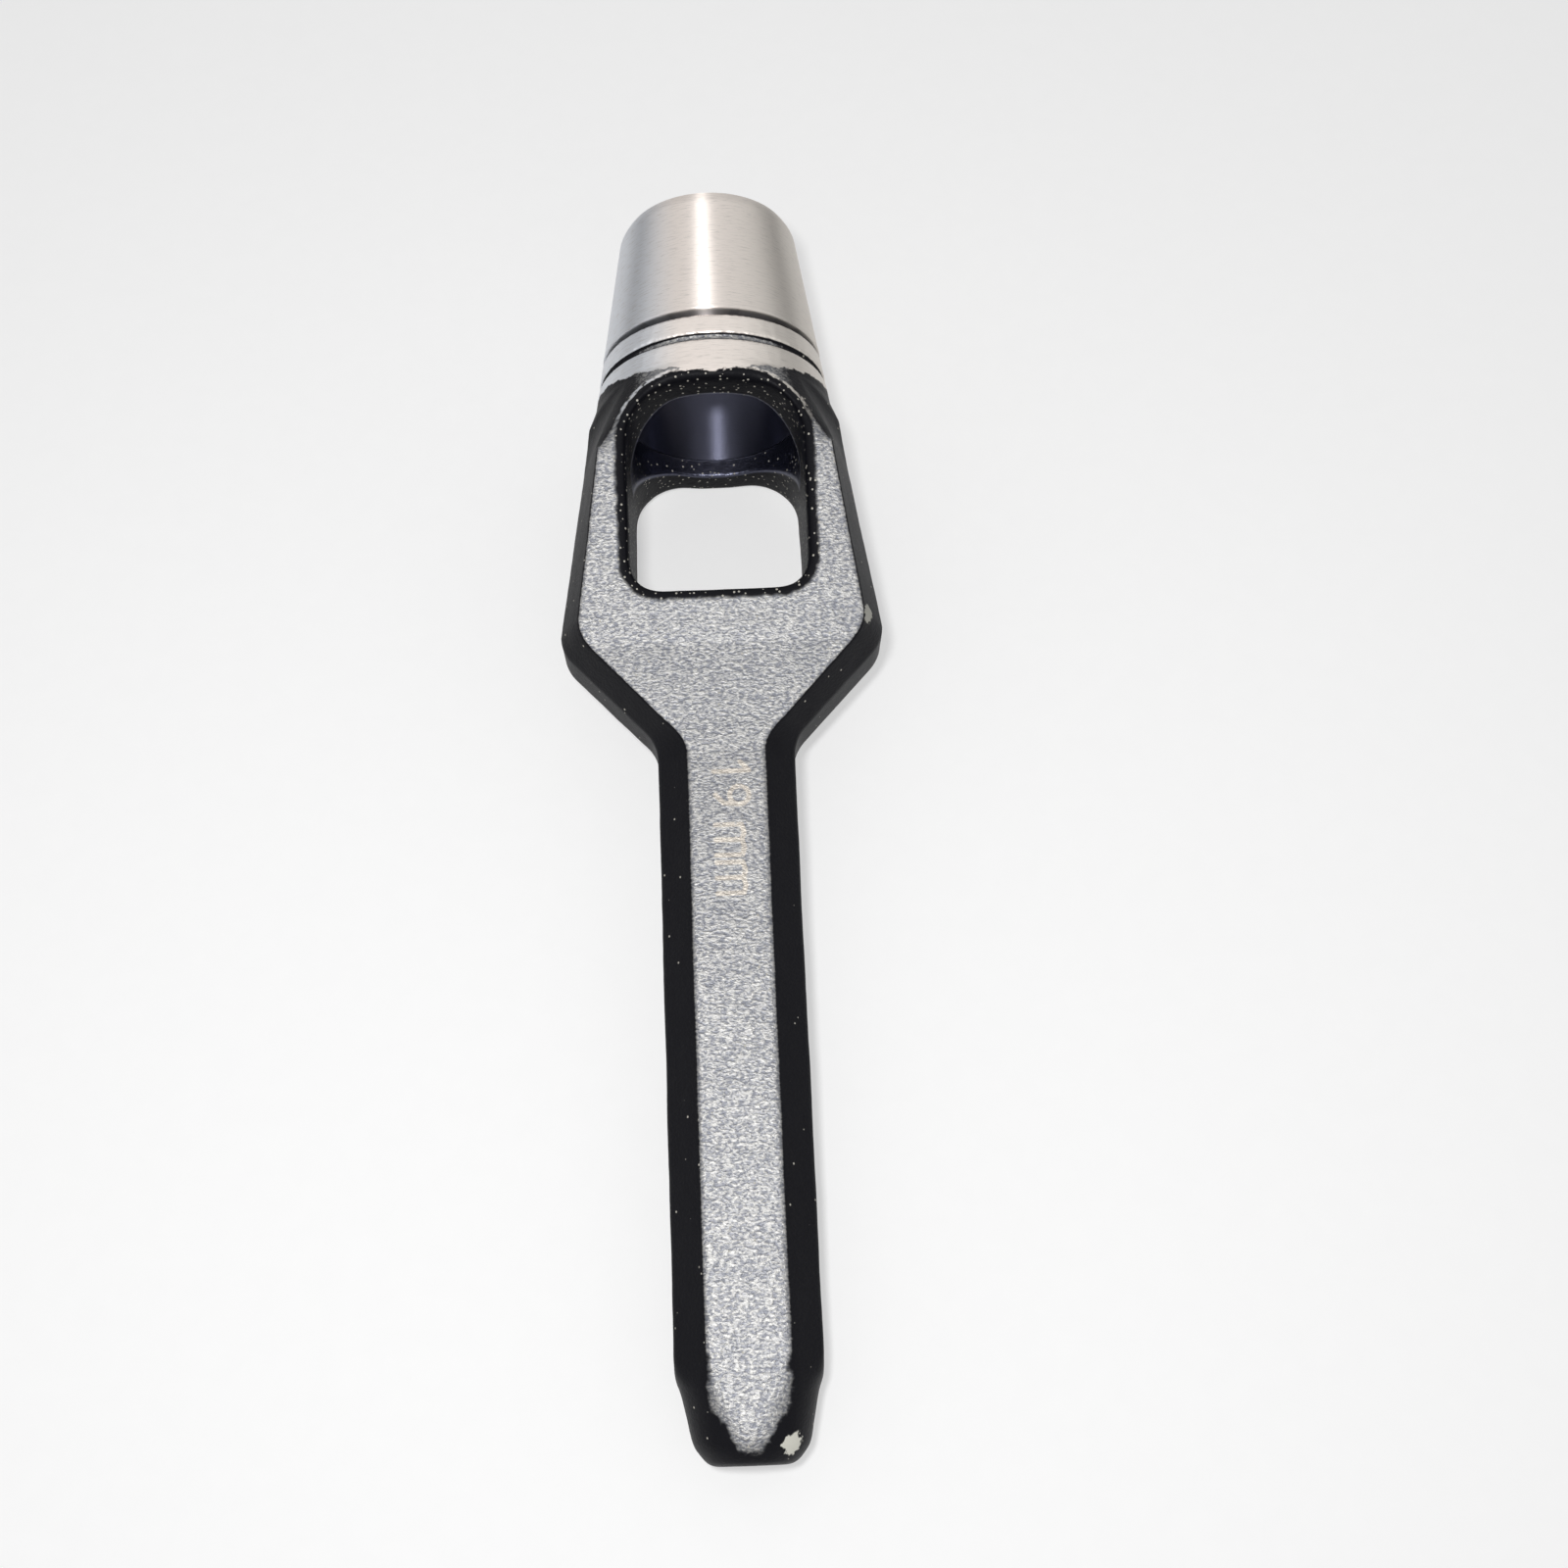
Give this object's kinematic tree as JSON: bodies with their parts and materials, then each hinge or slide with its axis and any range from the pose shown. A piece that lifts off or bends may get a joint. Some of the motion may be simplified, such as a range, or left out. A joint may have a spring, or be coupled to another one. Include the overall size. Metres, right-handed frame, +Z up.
{
  "type": "hollow arch punch",
  "caption": "Drop-forged arch punch for round holes: octagonal striking handle, windowed arch and ground, tapered 19 mm cutting tube.",
  "frame": {"origin": "on the resting plane, under the middle of the tool's length and width", "axes": "+Y along the tool axis from the struck end to the cutting edge, +Z up out of the slug window, +X to the right"},
  "size_m": [0.0354, 0.138, 0.0278],
  "materials": {
    "black_coat": "fine textured black coat over a blasted forging, semi-gloss",
    "ground_steel": "ground round the tool axis, fine circumferential scratches"
  },
  "bodies": {
    "root": {"forged_body": "black_coat", "cutting_tube": "ground_steel"}
  },
  "joints": []
}
